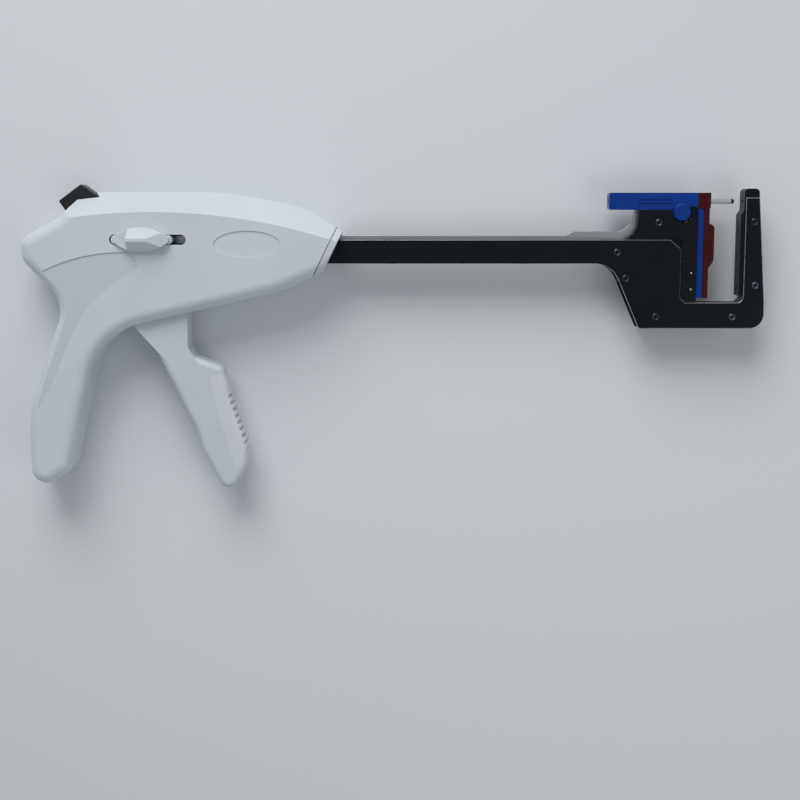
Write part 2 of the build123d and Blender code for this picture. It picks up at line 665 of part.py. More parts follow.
def pin_push_bar():
    """Flat bar along the top of the shaft that climbs to the retaining pin."""
    step = JAW_X - 13.5
    points = [
        (STEM_REAR + 8.0, BAR_BOTTOM),
        (STEM_REAR + 8.0, BAR_TOP),
        (step, BAR_TOP),
        (step + 3.5, BAR_TOP + 2.0),
        (BAR_RISE_X - 2.5, BAR_TOP + 2.0),
    ]
    climb = Spline(
        (BAR_RISE_X - 2.5, BAR_TOP + 2.0),
        (BAR_RISE_X + 2.5, BAR_TOP + 4.6),
        (DOG_REAR, BEAM_LOW),
        tangents=[(1, 0), (0.2, 1)],
    )
    dog = Polyline(
        (DOG_REAR, BEAM_LOW),
        (DOG_REAR, PIN_Y),
        (DOG_FRONT, PIN_Y),
        (DOG_FRONT, BEAM_LOW - 1.5),
    )
    under = Spline(
        (DOG_FRONT, BEAM_LOW - 1.5),
        (BAR_RISE_X + 7.5, BAR_TOP + 3.0),
        (BAR_RISE_X, BAR_BOTTOM),
        tangents=[(-0.3, -1), (-1, -0.1)],
    )
    back = Line((BAR_RISE_X, BAR_BOTTOM), (STEM_REAR + 8.0, BAR_BOTTOM))
    bar = prism(Curve() + [Polyline(*points), climb, dog, under, back], -BAR_HALF, BAR_HALF)
    return bar - rod_x(DOG_REAR, DOG_FRONT + 1, PIN_Y, PIN_DIAMETER / 2)


def retaining_pin():
    """Round pin from the dog, through the beam and the cap, to just short of the anvil."""
    pin = rod_x(DOG_REAR, ANVIL_FACE_X - PIN_GAP, PIN_Y, PIN_DIAMETER / 2)
    return chamfer(pin.edges().sort_by(Axis.X)[-1], 0.6)


def pin_slider_knob():
    """Thumb piece: a roof-shaped hump with a flat pad behind it and a sloping pad before it."""
    middle = STEM_REAR + STEM_LENGTH / 2
    reach = KNOB_LENGTH / 2
    rise = KNOB_HEIGHT / 2
    upper = ThreePointArc((-reach, 0), (0, rise), (reach, 0))
    lower = ThreePointArc((reach, 0), (0, -rise), (-reach, 0))
    lens = make_face(Curve() + [upper, lower])
    lens = fillet(lens.vertices(), 2.0)
    knob = extrude(lens, KNOB_RISE)
    slope = [(rise, 0), (rise, 1.6), (0.9, KNOB_RISE)]
    roof = Polyline(*slope, *[(-y, z) for y, z in reversed(slope)], close=True)
    knob &= extrude(Plane.YZ * make_face(roof), KNOB_LENGTH, both=True)
    step = -reach + 0.29 * KNOB_LENGTH
    behind = Box(KNOB_LENGTH, FRONT, FRONT, align=(Align.MAX, Align.CENTER, Align.MIN))
    knob -= Pos(step, 0, 2.2) * Rot(0, -6, 0) * behind
    start = step + 0.33 * KNOB_LENGTH
    before = Box(2 * KNOB_LENGTH, FRONT, FRONT, align=(Align.MIN, Align.CENTER, Align.MIN))
    knob -= Pos(start, 0, KNOB_RISE) * Rot(0, 22, 0) * before
    knob = Pos(middle, SLOT_Y, HALF + SLIP) * knob
    stem = SlotOverall(STEM_LENGTH, SLOT_HEIGHT - 2 * SLIP)
    stem = Pos(middle, SLOT_Y, BAR_HALF) * extrude(stem, HALF + SLIP - BAR_HALF)
    return knob + stem


# Trigger

NECK_CORNERS = [
    (5.0, 4.0, 1.0),
    (14.6, -5.0, 3.0),
    (14.6, -25.4, 3.0),
    (20.0, -34.0, 1.0),
    (5.6, -34.0, 1.0),
    (-4.0, -23.5, 20.0),
    (-14.0, -12.5, 3.2),
    (-5.0, 4.0, 1.0),
]
PADDLE_CORNERS = [
    (-3.6, -22.4, 3.4),
    (31.9, -35.1, 4.0),
    (35.0, -48.5, 20.0),
    (43.6, -75.0, 16.0),
    (42.4, 12.0 - TRIGGER_DROP, 20.0),
    (33.0, -2.0 - TRIGGER_DROP, 5.0),
    (20.8, -77.0, 6.0),
    (18.4, -68.0, 6.0),
]


def paddle():
    """Wide part of the lever below its shelf, with rounded rims."""
    form = extrude(soft_face(PADDLE_CORNERS), TRIGGER_WIDTH / 2, both=True)
    sides = form.faces().sort_by(Axis.Z)
    return fillet(sides[0].edges() + sides[-1].edges(), RIM_RADIUS)


def pad_field():
    """Region of the paddle's front that the finger strip fills."""
    low = 14.0 - TRIGGER_DROP
    inner = ThreePointArc((25.0, -39.0), (29.8, -60.0), (37.4, low))
    rest = Polyline((37.4, low), (70.0, low + 4), (70.0, -39.0), (25.0, -39.0))
    return extrude(make_face(Curve() + [inner, rest]), HALF, both=True)


def trigger_lever():
    """Lever with a neck that fits between the hub bosses and a wide paddle below the shelf."""
    lever = paddle() - pad_field()
    lever += extrude(soft_face(NECK_CORNERS) + Circle(HUB_RADIUS), HUB_HALF, both=True)
    lever -= rod(0, 0, PIVOT_DIAMETER / 2 + FIT, -HALF, HALF)
    return lever - extrude(arm_outline(), ARM_HALF, both=True)


def trigger_finger_pad():
    """Ribbed strip let into the front of the paddle."""
    pad = paddle() & pad_field()
    ribs = Pos(39.7, -63.0) * Rot(0, 0, 18)
    for i in range(RIB_COUNT):
        y = (i - (RIB_COUNT - 1) / 2) * RIB_PITCH
        pad -= ribs * Pos(0, y) * Box(2 * RIB_DEPTH, RIB_PITCH / 2, TRIGGER_WIDTH)
    return pad


def arm_outline():
    """Forked steel arm, set in the lever and tilted back at rest."""
    reach = SHAFT_AXIS + 1.6
    plate = Pos(0, reach / 2 - 2.5) * Rectangle(8.6, reach + 5.0)
    plate -= Pos(0, reach - 2.0) * Rectangle(2 * DRIVE_PIN_RADIUS + 0.3, 9.0)
    plate -= Circle(PIVOT_DIAMETER / 2 + FIT)
    return Rot(0, 0, ARM_TILT) * plate


def drive_arm():
    return extrude(arm_outline(), ARM_HALF, both=True)


def trigger_pivot_pin():
    reach = HUB_HALF + SLIP + PIVOT_SEAT - SLIP
    return rod(0, 0, PIVOT_DIAMETER / 2, -reach, reach)


# Release button and latch

def release_button():
    corners = [
        (BUTTON_LOW_Q, STEM_FOOT),
        (BUTTON_LOW_Q, -0.4),
        (0, 0),
        (BUTTON_HIGH_Q, -10.2),
        (BUTTON_HIGH_Q, STEM_FOOT),
    ]
    side = rounded([button_spot(q, h) for q, h in corners], 0.8)
    return prism(side, -BUTTON_HALF, BUTTON_HALF)


def release_button_spring():
    """Compression spring between the button and its ledge in the shell."""
    wire = 0.5
    height = SPRING_LENGTH - wire
    path = Helix(pitch=height / 3, height=height, radius=SPRING_RADIUS - wire / 2)
    start = Plane(origin=path @ 0, z_dir=path % 0)
    coil = sweep(start * Rectangle(wire, wire), path=path)
    x, y = button_spot(-1.2, STEM_FOOT - SPRING_LENGTH + wire / 2)
    return Pos(x, y, SPRING_Z) * Rot(0, 0, PRESS_ANGLE + 90) * Rot(-90, 0, 0) * coil


def latch_pawl():
    """Lever whose nose drops behind the closing bar and whose tail the button presses."""
    nose = FORK_X + 5.0
    tail = PAWL_X - 13.0
    low = CLOSER_TOP + 0.3
    points = [
        (tail, PAWL_Y - 1.2),
        (tail, PAWL_Y + 1.4),
        (PAWL_X, PAWL_Y + 3.0),
        (nose, low + 3.0),
        (nose, low),
        (FORK_X - GAP, low),
        (PAWL_X, PAWL_Y - 3.0),
    ]
    plate = prism(rounded(points, 0.5), PAWL_LOW, PAWL_HIGH)
    return plate - rod(PAWL_X, PAWL_Y, PAWL_PIN + FIT, -HALF, HALF)


def latch_pin():
    return rod(PAWL_X, PAWL_Y, PAWL_PIN, PAWL_LOW - GAP - STUD_REACH + SLIP, PAWL_HIGH + GAP)


NODES = {
    "right_handle_shell": right_handle_shell,
    "left_handle_shell": left_handle_shell,
    "nose_collar": nose_collar,
    "right_frame_plate": frame_plate,
    "left_frame_plate": lambda: mirror(frame_plate(), about=Plane.XY),
    "jaw_core": jaw_core,
    "frame_rivets": frame_rivets,
    "frame_spacer": frame_spacer,
    "frame_anchor_studs": frame_anchor_studs,
    "anvil": anvil,
    "carriage": carriage,
    "carriage_rivet": carriage_rivet,
    "cartridge_locator_pins": locator_pins,
    "cartridge_body": cartridge_body,
    "staple_driver": staple_driver,
    "staples": staples,
    "staple_cap": staple_cap,
    "closing_bar": closing_bar,
    "drive_pin": drive_pin,
    "firing_bar": firing_bar,
    "pin_push_bar": pin_push_bar,
    "retaining_pin": retaining_pin,
    "pin_slider_knob": pin_slider_knob,
    "trigger_lever": trigger_lever,
    "trigger_finger_pad": trigger_finger_pad,
    "drive_arm": drive_arm,
    "trigger_pivot_pin": trigger_pivot_pin,
    "trigger_return_spring": lambda: leaf_strip(2 * ARM_HALF),
    "release_button": release_button,
    "release_button_spring": release_button_spring,
    "latch_pawl": latch_pawl,
    "latch_pin": latch_pin,
}

os.makedirs("parts", exist_ok=True)
for name, make in NODES.items():
    export_step(Pos(0, 0, HALF) * make(), f"parts/{name}.step")
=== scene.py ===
from math import radians

import bmesh
import bpy
from bpy.props import FloatProperty, FloatVectorProperty, PointerProperty
from mathutils import Matrix, Vector


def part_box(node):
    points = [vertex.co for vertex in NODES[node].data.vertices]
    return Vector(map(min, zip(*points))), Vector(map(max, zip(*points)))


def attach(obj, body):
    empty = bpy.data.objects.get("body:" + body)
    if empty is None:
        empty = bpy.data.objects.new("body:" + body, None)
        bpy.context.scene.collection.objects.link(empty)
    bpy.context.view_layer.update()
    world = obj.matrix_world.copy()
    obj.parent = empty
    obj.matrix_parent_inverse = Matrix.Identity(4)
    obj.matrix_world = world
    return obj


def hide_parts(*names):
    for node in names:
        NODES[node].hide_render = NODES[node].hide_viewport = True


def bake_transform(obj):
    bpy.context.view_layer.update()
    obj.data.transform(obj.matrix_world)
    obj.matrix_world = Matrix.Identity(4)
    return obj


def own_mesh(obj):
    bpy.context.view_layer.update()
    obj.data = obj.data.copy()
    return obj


bl_info = {
    "name": "Linear Stapler Looks",
    "version": (1, 0, 0),
    "blender": (4, 5, 0),
    "location": "View3D > Sidebar > Stapler",
    "description": "Finishes, small fittings and studio for a linear surgical stapler",
    "category": "Object",
}

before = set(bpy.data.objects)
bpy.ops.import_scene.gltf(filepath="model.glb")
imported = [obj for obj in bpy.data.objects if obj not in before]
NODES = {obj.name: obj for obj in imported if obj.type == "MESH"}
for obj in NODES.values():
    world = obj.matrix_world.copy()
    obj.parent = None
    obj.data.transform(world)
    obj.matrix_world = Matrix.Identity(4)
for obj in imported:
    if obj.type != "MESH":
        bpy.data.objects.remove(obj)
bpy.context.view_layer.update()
MID_HEIGHT = 0.015
FRAME_HALF = 0.006

# Edges and meshes
SAME_SPOT = 1e-7
WELD_REACH = 1e-6
FLAT_ANGLE = radians(0.4)
SHARP_ANGLE = radians(32)
SOFT_EDGE = 0.0004
KNOB_EDGE = 0.0003
LOCATOR_EDGE = 0.00015
BAR_EDGE = 0.0001

# Fine textures
HOUSING_RELIEF = 0.00012
MOULD_RELIEF = 0.00006
STEEL_RELIEF = 0.00003
BRUSH_PITCH = 0.00018
PALM_DEPTH = 0.0005
PALM_REACH = 0.0003
UPWARD = 0.985
BUTTON_GRAIN = 0.0005
CARTRIDGE_GRAIN = 0.0004
CAP_GRAIN = 0.0006
RIVET_GRAIN = 0.0003

# Rivet head: share of the radius, and share of the rise below its top
RIVET_HEAD = [
    (0.4, -0.05), (0.6, -0.3), (0.7, -0.8), (0.78, -0.05), (0.83, -0.03), (0.98, -0.45), (1.0, -1.0)
]
RIVET_END = [(1.0, 0.0)]
RIVET_STEPS = 28
RIM_START = 0.72

# Pin and leaf
TIP_LENGTH = 0.0018
TIP_FADE = 0.0004
TIP_TONE = (0.05, 0.05, 0.055)

# Studio
LAMP_AIM = Vector((0.12, -0.02, MID_HEIGHT))
KEY_PLACE, KEY_SIZE = (-0.15, 1.05, 0.75), 0.9
FILL_PLACE, FILL_SIZE = (0.85, -0.45, 0.8), 0.8
WIDE_OPEN = radians(180)
SKY_TINT = (0.90, 0.95, 1.0, 1.0)
FLOOR_REACH = 32.0
CAMERA_PLACE = Vector((0.1205, 0.0472, MID_HEIGHT + 0.7029))
CAMERA_AIM = Vector((0.1205, -0.0528, MID_HEIGHT))
SENSOR, LENS = 36.0, 62.98


def colour(name, words, value):
    """Colour property in linear red, green and blue."""
    return FloatVectorProperty(
        name=name, description=words, subtype="COLOR", size=3, min=0.0, max=1.0, default=value
    )


def length(name, words, value):
    return FloatProperty(name=name, description=words, default=value, min=0.0, unit="LENGTH")


def share(name, words, value, top):
    return FloatProperty(name=name, description=words, default=value, min=0.0, max=top, subtype="FACTOR")


def power(name, words, value):
    return FloatProperty(name=name, description=words, default=value, min=0.0, unit="POWER")


def angle(name, words, value):
    return FloatProperty(name=name, description=words, default=value, subtype="ANGLE")


class StaplerFinishes(bpy.types.PropertyGroup):
    """Colours of the stapler's materials"""

    housing: colour("Housing", "Cool white moulded handle and trigger", (0.68, 0.72, 0.77))
    housing_shade: colour("Housing Shade", "Greyer white in the moulding's flow", (0.655, 0.695, 0.745))
    # Painted shade: the sunk field behind the slider is tinted darker than the housing, as if in shade.
    palm: colour("Palm Field", "Grained field behind the slider", (0.60, 0.64, 0.69))
    parting: colour("Parting Line", "Shade in the line where the two shells meet", (0.30, 0.32, 0.35))
    trigger: colour("Trigger", "White of the lever, the slider and the nose ring", (0.68, 0.72, 0.77))
    # Painted highlight: the strip's lighter white stands for the light it faces; only its softer finish is
    # real.
    lit_finger_strip: colour("Finger Strip", "Lighter, softer white of the ribbed strip", (0.74, 0.77, 0.81))
    blued: colour("Blued Steel", "Satin black frame and carriage", (0.012, 0.014, 0.018))
    # Partly wear, partly painted highlight: the bright edge colour stands for the lamp's reflection in
    # polished chamfers.
    worn_and_highlit_edge: colour("Worn Edge", "Steel that shows along rubbed edges", (0.50, 0.51, 0.53))
    bright: colour("Bright Steel", "Push bar and pin", (0.78, 0.80, 0.83))
    cartridge: colour("Cartridge", "Blue moulded cartridge", (0.002, 0.044, 0.31))
    cap: colour("Cap", "Dark red staple cap", (0.060, 0.0010, 0.0035))
    button: colour("Button", "Black moulded release button", (0.012, 0.012, 0.013))


class StaplerSizes(bpy.types.PropertyGroup):
    """Small sizes that the finishes and fittings use"""

    grain: length("Palm Grain", "Width of one grain in the palm field", 0.0009)
    mould_grain: length("Mould Grain", "Width of the fine texture on moulded parts", 0.00035)
    brush_length: length("Brush Length", "Length of the brushed lines on bright steel", 0.02)
    rivet_rise: length("Rivet Rise", "How far a rivet head stands out", 0.0003)
    seam: length("Seam", "Half the width of the line where the shells meet", 0.00022)
    edge_break: length("Edge Break", "Width of the broken edge on sheared steel", 0.00018)


class StaplerStudio(bpy.types.PropertyGroup):
    """Light and backdrop"""

    floor: colour("Floor", "Pale studio floor", (0.80, 0.82, 0.85))
    key: power("Key Light", "Power of the large lamp", 3.1)
    spread: angle("Key Spread", "Angle that the large lamp shines into", radians(85))
    fill: power("Fill Light", "Power of the side lamp", 1.5)
    sky: share("Sky", "Strength of the even light all round", 0.32, 4.0)


# Shader tools

def group_sockets(tree, inputs, outputs):
    """Named sockets of a shader node group, with defaults for its inputs."""
    for name, kind, value in inputs:
        socket = tree.interface.new_socket(name, in_out="INPUT", socket_type=kind)
        if value is not None:
            socket.default_value = value
    for name, kind in outputs:
        tree.interface.new_socket(name, in_out="OUTPUT", socket_type=kind)
    return tree.nodes.new("NodeGroupInput"), tree.nodes.new("NodeGroupOutput")


def node(tree, kind, values=None, links=None, **settings):
    """New node with its settings, socket values and incoming links."""
    made = tree.nodes.new(kind)
    for key, value in settings.items():
        setattr(made, key, value)
    for key, value in (values or {}).items():
        made.inputs[key].default_value = value
    for key, source in (links or {}).items():
        tree.links.new(source, made.inputs[key])
    return made


def ramp(tree, source, low, high):
    """Smooth step from 0 at low to 1 at high."""
    made = node(
        tree,
        "ShaderNodeMapRange",
        {"From Min": low, "From Max": high, "To Min": 0.0, "To Max": 1.0},
        {"Value": source},
        interpolation_type="SMOOTHSTEP",
    )
    return made.outputs["Result"]


def calc(tree, operation, first, second):
    """Result of a sum of two sockets or numbers."""
    made = tree.nodes.new("ShaderNodeMath")
    made.operation = operation
    for socket, value in zip(made.inputs, (first, second)):
        if isinstance(value, (int, float)):
            socket.default_value = value
        else:
            tree.links.new(value, socket)
    return made.outputs["Value"]


def mix(tree, factor, first, second):
    """Blend of two colours."""
    made = tree.nodes.new("ShaderNodeMix")
    made.data_type = "RGBA"
    for socket, value in ((made.inputs[0], factor), (made.inputs[6], first), (made.inputs[7], second)):
        if isinstance(value, (int, float)):
            socket.default_value = value
        elif isinstance(value, bpy.types.NodeSocket):
            tree.links.new(value, socket)
        else:
            socket.default_value = (*value, 1.0)
    return made.outputs[2]


def mould_texture_group():
    """Fine orange-peel height and a slow colour drift, as on moulded plastic."""
    tree = bpy.data.node_groups.new("Mould Texture", "ShaderNodeTree")
    source, result = group_sockets(
        tree,
        [("Vector", "NodeSocketVector", None), ("Grain Size", "NodeSocketFloat", 0.0004)],
        [("Height", "NodeSocketFloat"), ("Drift", "NodeSocketFloat"), ("Scuff", "NodeSocketFloat")],
    )
    scale = calc(tree, "DIVIDE", 1.0, source.outputs["Grain Size"])
    grain = node(tree, "ShaderNodeTexNoise", {"Detail": 3.0, "Roughness": 0.55},
                 {"Vector": source.outputs["Vector"], "Scale": scale})
    drift = node(tree, "ShaderNodeTexNoise", {"Scale": 28.0, "Detail": 3.0, "Roughness": 0.5},
                 {"Vector": source.outputs["Vector"]})
    scuff = node(tree, "ShaderNodeTexNoise", {"Scale": 160.0, "Detail": 6.0, "Roughness": 0.7},
                 {"Vector": source.outputs["Vector"]})
    tree.links.new(grain.outputs["Fac"], result.inputs["Height"])
    tree.links.new(ramp(tree, drift.outputs["Fac"], 0.38, 0.66), result.inputs["Drift"])
    tree.links.new(ramp(tree, scuff.outputs["Fac"], 0.52, 0.75), result.inputs["Scuff"])
    return tree


def brushed_group():
    """Long fine lines along X, as left by a brushing belt."""
    tree = bpy.data.node_groups.new("Brushed Lines", "ShaderNodeTree")
    source, result = group_sockets(
        tree,
        [("Vector", "NodeSocketVector", None), ("Line Length", "NodeSocketFloat", 0.02)],
        [("Height", "NodeSocketFloat"), ("Streak", "NodeSocketFloat")],
    )
    parts = node(tree, "ShaderNodeSeparateXYZ", links={"Vector": source.outputs["Vector"]})
    along = calc(tree, "DIVIDE", parts.outputs["X"], source.outputs["Line Length"])
    across = calc(tree, "DIVIDE", parts.outputs["Y"], BRUSH_PITCH)
    deep = calc(tree, "DIVIDE", parts.outputs["Z"], BRUSH_PITCH)
    place = node(tree, "ShaderNodeCombineXYZ", links={"X": along, "Y": across, "Z": deep})
    lines = node(tree, "ShaderNodeTexNoise", {"Scale": 1.0, "Detail": 4.0, "Roughness": 0.6},
                 {"Vector": place.outputs["Vector"]})
    slow = node(tree, "ShaderNodeTexNoise", {"Scale": 60.0, "Detail": 2.0},
                {"Vector": source.outputs["Vector"]})
    tree.links.new(lines.outputs["Fac"], result.inputs["Height"])
    streak = calc(tree, "MULTIPLY", ramp(tree, lines.outputs["Fac"], 0.35, 0.7), slow.outputs["Fac"])
    tree.links.new(streak, result.inputs["Streak"])
    return tree


def edge_highlight_group():
    """Mask of faces that slant between a plate's flat side and its rim, broken up by noise; it marks wear and
    a painted highlight along the edges.
    """
    tree = bpy.data.node_groups.new("Rubbed Edge Highlight", "ShaderNodeTree")
    source, result = group_sockets(
        tree,
        [("Vector", "NodeSocketVector", None), ("Normal", "NodeSocketVector", None)],
        [("Mask", "NodeSocketFloat")],
    )
    parts = node(tree, "ShaderNodeSeparateXYZ", links={"Vector": source.outputs["Normal"]})
    slant = calc(tree, "ABSOLUTE", parts.outputs["Z"], 0.0)
    inside = calc(tree, "SUBTRACT", ramp(tree, slant, 0.2, 0.4), ramp(tree, slant, 0.9, 0.97))
    noise = node(tree, "ShaderNodeTexNoise", {"Scale": 320.0, "Detail": 4.0},
                 {"Vector": source.outputs["Vector"]})
    broken = calc(tree, "MULTIPLY", inside, ramp(tree, noise.outputs["Fac"], 0.22, 0.5))
    tree.links.new(broken, result.inputs["Mask"])
    return tree


GROUPS = {}


def group(tree, name, vector, values=None):
    """Places a shared effect in a material, building it the first time."""
    makers = {"Mould Texture": mould_texture_group, "Brushed Lines": brushed_group, "Rubbed Edge Highlight": edge_highlight_group}
    if name not in GROUPS:
        GROUPS[name] = makers[name]()
    made = tree.nodes.new("ShaderNodeGroup")
    made.node_tree = GROUPS[name]
    tree.links.new(vector, made.inputs["Vector"])
    for key, value in (values or {}).items():
        made.inputs[key].default_value = value
    return made.outputs


def rubbed_and_highlit_edge(tree, place):
    """Mask of rubbed edges that also carry a painted highlight, fed with the piece's own normals."""
    made = group(tree, "Rubbed Edge Highlight", place)
    coordinates = place.node
    tree.links.new(coordinates.outputs["Normal"], made["Mask"].node.inputs["Normal"])
    return made["Mask"]


def material(name, roughness, metallic=0.0, coat=0.0, specular=0.5):
    """Empty principled material with its node tree, shader and object coordinates."""
    made = bpy.data.materials.new(name)
    made.use_nodes = True
    tree = made.node_tree
    shader = tree.nodes["Principled BSDF"]
    shader.inputs["Roughness"].default_value = roughness
    shader.inputs["Metallic"].default_value = metallic
    shader.inputs["Coat Weight"].default_value = coat
    shader.inputs["Specular IOR Level"].default_value = specular
    place = tree.nodes.new("ShaderNodeTexCoord").outputs["Object"]
    return made, tree, shader, place


def bump(tree, shader, height, strength, distance):
    made = node(tree, "ShaderNodeBump", {"Strength": strength, "Distance": distance}, {"Height": height})
    tree.links.new(made.outputs["Normal"], shader.inputs["Normal"])


def near_level(tree, value, level, reach):
    """Mask that is 1 at a level and falls to 0 at a reach to either side."""
    away = calc(tree, "ABSOLUTE", calc(tree, "SUBTRACT", value, level), 0.0)
    return calc(tree, "SUBTRACT", 1.0, ramp(tree, away, 0.4 * reach, reach))


def palm_field(tree, place):
    """Mask of the sunk field behind the slider, found by its level and its upward face."""
    parts = node(tree, "ShaderNodeSeparateXYZ", links={"Vector": place})
    facing = node(tree, "ShaderNodeSeparateXYZ", links={"Vector": place.node.outputs["Normal"]})
    level = near_level(tree, parts.outputs["Z"], 2 * MID_HEIGHT - PALM_DEPTH, PALM_REACH)
    upward = calc(tree, "GREATER_THAN", facing.outputs["Z"], UPWARD)
    behind = calc(tree, "LESS_THAN", parts.outputs["X"], 0.0)
    return calc(tree, "MULTIPLY", level, calc(tree, "MULTIPLY", upward, behind))


def housing_plastic(finishes, sizes):
    """Cool white moulding with a parting line, and a coarser grain in the sunk field behind the slider, whose
    darker tint is painted shade.
    """
    made, tree, shader, place = material("Housing_White", 0.42, coat=0.06)
    texture = group(tree, "Mould Texture", place, {"Grain Size": sizes.mould_grain})
    parts = node(tree, "ShaderNodeSeparateXYZ", links={"Vector": place})
    parting = near_level(tree, parts.outputs["Z"], MID_HEIGHT, sizes.seam)
    field = palm_field(tree, place)
    white = mix(tree, texture["Drift"], finishes.housing, finishes.housing_shade)
    # Painted shade: darker tint laid over the sunk field behind the slider.
    palm_shaded = mix(tree, field, white, finishes.palm)
    tree.links.new(mix(tree, parting, palm_shaded, finishes.parting), shader.inputs["Base Color"])
    rough = node(tree, "ShaderNodeMapRange", {"To Min": 0.36, "To Max": 0.5}, {"Value": texture["Scuff"]})
    tree.links.new(rough.outputs["Result"], shader.inputs["Roughness"])
    pebble = node(tree, "ShaderNodeTexVoronoi", {"Scale": 1.0 / sizes.grain}, {"Vector": place})
    coarse = calc(tree, "MULTIPLY", calc(tree, "MULTIPLY", pebble.outputs["Distance"], field), 2.2)
    fine = calc(tree, "MULTIPLY", texture["Height"], 0.35)
    groove = calc(tree, "MULTIPLY", parting, 2.0)
    height = calc(tree, "SUBTRACT", calc(tree, "ADD", coarse, fine), groove)
    bump(tree, shader, height, 0.5, HOUSING_RELIEF)
    return made


def blued_steel(finishes, sizes):
    """Satin black steel, brighter along its edges, partly from wear and partly as a painted highlight."""
    made, tree, shader, place = material("Blued_Steel", 0.34, metallic=0.85)
    lines = group(tree, "Brushed Lines", place, {"Line Length": sizes.brush_length})
    edge = rubbed_and_highlit_edge(tree, place)
    dark = mix(tree, lines["Streak"], finishes.blued, tuple(1.7 * c for c in finishes.blued))
    # Wear and painted highlight: the edge mask brightens the chamfers.
    tree.links.new(mix(tree, edge, dark, finishes.worn_and_highlit_edge), shader.inputs["Base Color"])
    rough = node(tree, "ShaderNodeMapRange", {"To Min": 0.32, "To Max": 0.46}, {"Value": lines["Height"]})
    polish = calc(tree, "MULTIPLY", edge, 0.14)
    tree.links.new(calc(tree, "SUBTRACT", rough.outputs["Result"], polish), shader.inputs["Roughness"])
    bump(tree, shader, lines["Height"], 0.08, STEEL_RELIEF)
    return made


def bright_steel(finishes, sizes, name="Bright_Steel", dark_from=None):
    """Brushed light steel; the pin is darker towards its tip."""
    made, tree, shader, place = material(name, 0.28, metallic=1.0)
    lines = group(tree, "Brushed Lines", place, {"Line Length": sizes.brush_length})
    tone = mix(tree, lines["Streak"], tuple(0.72 * c for c in finishes.bright), finishes.bright)
    if dark_from is not None:
        parts = node(tree, "ShaderNodeSeparateXYZ", links={"Vector": place})
        tip = ramp(tree, parts.outputs["X"], dark_from, dark_from + TIP_FADE)
        tone = mix(tree, tip, tone, TIP_TONE)
    tree.links.new(tone, shader.inputs["Base Color"])
    rough = node(tree, "ShaderNodeMapRange", {"To Min": 0.22, "To Max": 0.4}, {"Value": lines["Height"]})
    tree.links.new(rough.outputs["Result"], shader.inputs["Roughness"])
    bump(tree, shader, lines["Height"], 0.15, STEEL_RELIEF)
    return made


def rivet_steel(finishes, name, lift, roughness):
    """Upset metal of a rivet, lifted from the blued tone; the rim's stronger lift is partly wear and partly a
    painted highlight.
    """
    made, tree, shader, place = material(name, roughness, metallic=1.0)
    texture = group(tree, "Mould Texture", place, {"Grain Size": RIVET_GRAIN})
    dark = tuple(lift * c for c in finishes.blued)
    tree.links.new(mix(tree, texture["Drift"], dark, tuple(2 * c for c in dark)), shader.inputs["Base Color"])
    bump(tree, shader, texture["Height"], 0.2, STEEL_RELIEF)
    return made


def moulded(name, tint, roughness, grain, coat=0.0, strength=0.35, specular=0.5):
    """Moulded plastic in one tint, with drift, scuffs and a fine grain."""
    made, tree, shader, place = material(name, roughness, coat=coat, specular=specular)
    texture = group(tree, "Mould Texture", place, {"Grain Size": grain})
    deep = tuple((0.78 + 0.19 * min(tint)) * c for c in tint)
    tree.links.new(mix(tree, texture["Drift"], tint, deep), shader.inputs["Base Color"])
    rough = node(tree, "ShaderNodeMapRange", {"To Min": roughness - 0.05, "To Max": roughness + 0.12},
                 {"Value": texture["Scuff"]})
    tree.links.new(rough.outputs["Result"], shader.inputs["Roughness"])
    bump(tree, shader, texture["Height"], strength, MOULD_RELIEF)
    return made


FINISHES = {}


def finish(name, maker):
    """Material by name, made the first time it is asked for."""
    if name not in FINISHES:
        FINISHES[name] = maker()
    return FINISHES[name]


def dress(nodes, made, edge=0.0, clamp=True):
    """Gives CAD nodes a material, and breaks their sharp edges by a width, clamped where edges are close."""
    for name in nodes:
        piece = NODES[name]
        piece.data.materials.clear()
        piece.data.materials.append(made)
        if edge:
            weld = piece.modifiers.new("Joined", "WELD")
            weld.merge_threshold = WELD_REACH
            flats = piece.modifiers.new("Whole Flats", "DECIMATE")
            flats.decimate_type = "DISSOLVE"
            flats.angle_limit = FLAT_ANGLE
            broken = piece.modifiers.new("Broken Edges", "BEVEL")
            broken.width = edge
            broken.segments = 2
            broken.use_clamp_overlap = clamp
            broken.limit_method = "ANGLE"
            broken.angle_limit = SHARP_ANGLE
            even = piece.modifiers.new("Even Shading", "WEIGHTED_NORMAL")
            even.mode = "FACE_AREA"
            even.weight = 100


def scene_sizes():
    return bpy.context.scene.stapler_sizes


def scene_finishes():
    return bpy.context.scene.stapler_finishes


def white_finish():
    tint = tuple(scene_finishes().trigger)
    grain = scene_sizes().mould_grain
    return finish("white", lambda: moulded("Moulded_White", tint, 0.42, grain, coat=0.06, strength=0.3))


def blued_finish():
    return finish("blued", lambda: blued_steel(scene_finishes(), scene_sizes()))


def bright_finish():
    return finish("bright", lambda: bright_steel(scene_finishes(), scene_sizes()))


def islands(piece):
    """Low and high corner of each separate solid in a CAD node."""
    mesh = bmesh.new()
    mesh.from_mesh(piece.data)
    bmesh.ops.remove_doubles(mesh, verts=mesh.verts, dist=SAME_SPOT)
    left = set(mesh.verts)
    boxes = []
    while left:
        found = {left.pop()}
        front = set(found)
        while front:
            front = {e.other_vert(v) for v in front for e in v.link_edges} - found
            found |= front
        left -= found
        axes = list(zip(*[v.co for v in found]))
        boxes.append((Vector(map(min, axes)), Vector(map(max, axes))))
    mesh.free()
    return sorted(boxes, key=lambda box: tuple(box[0]))


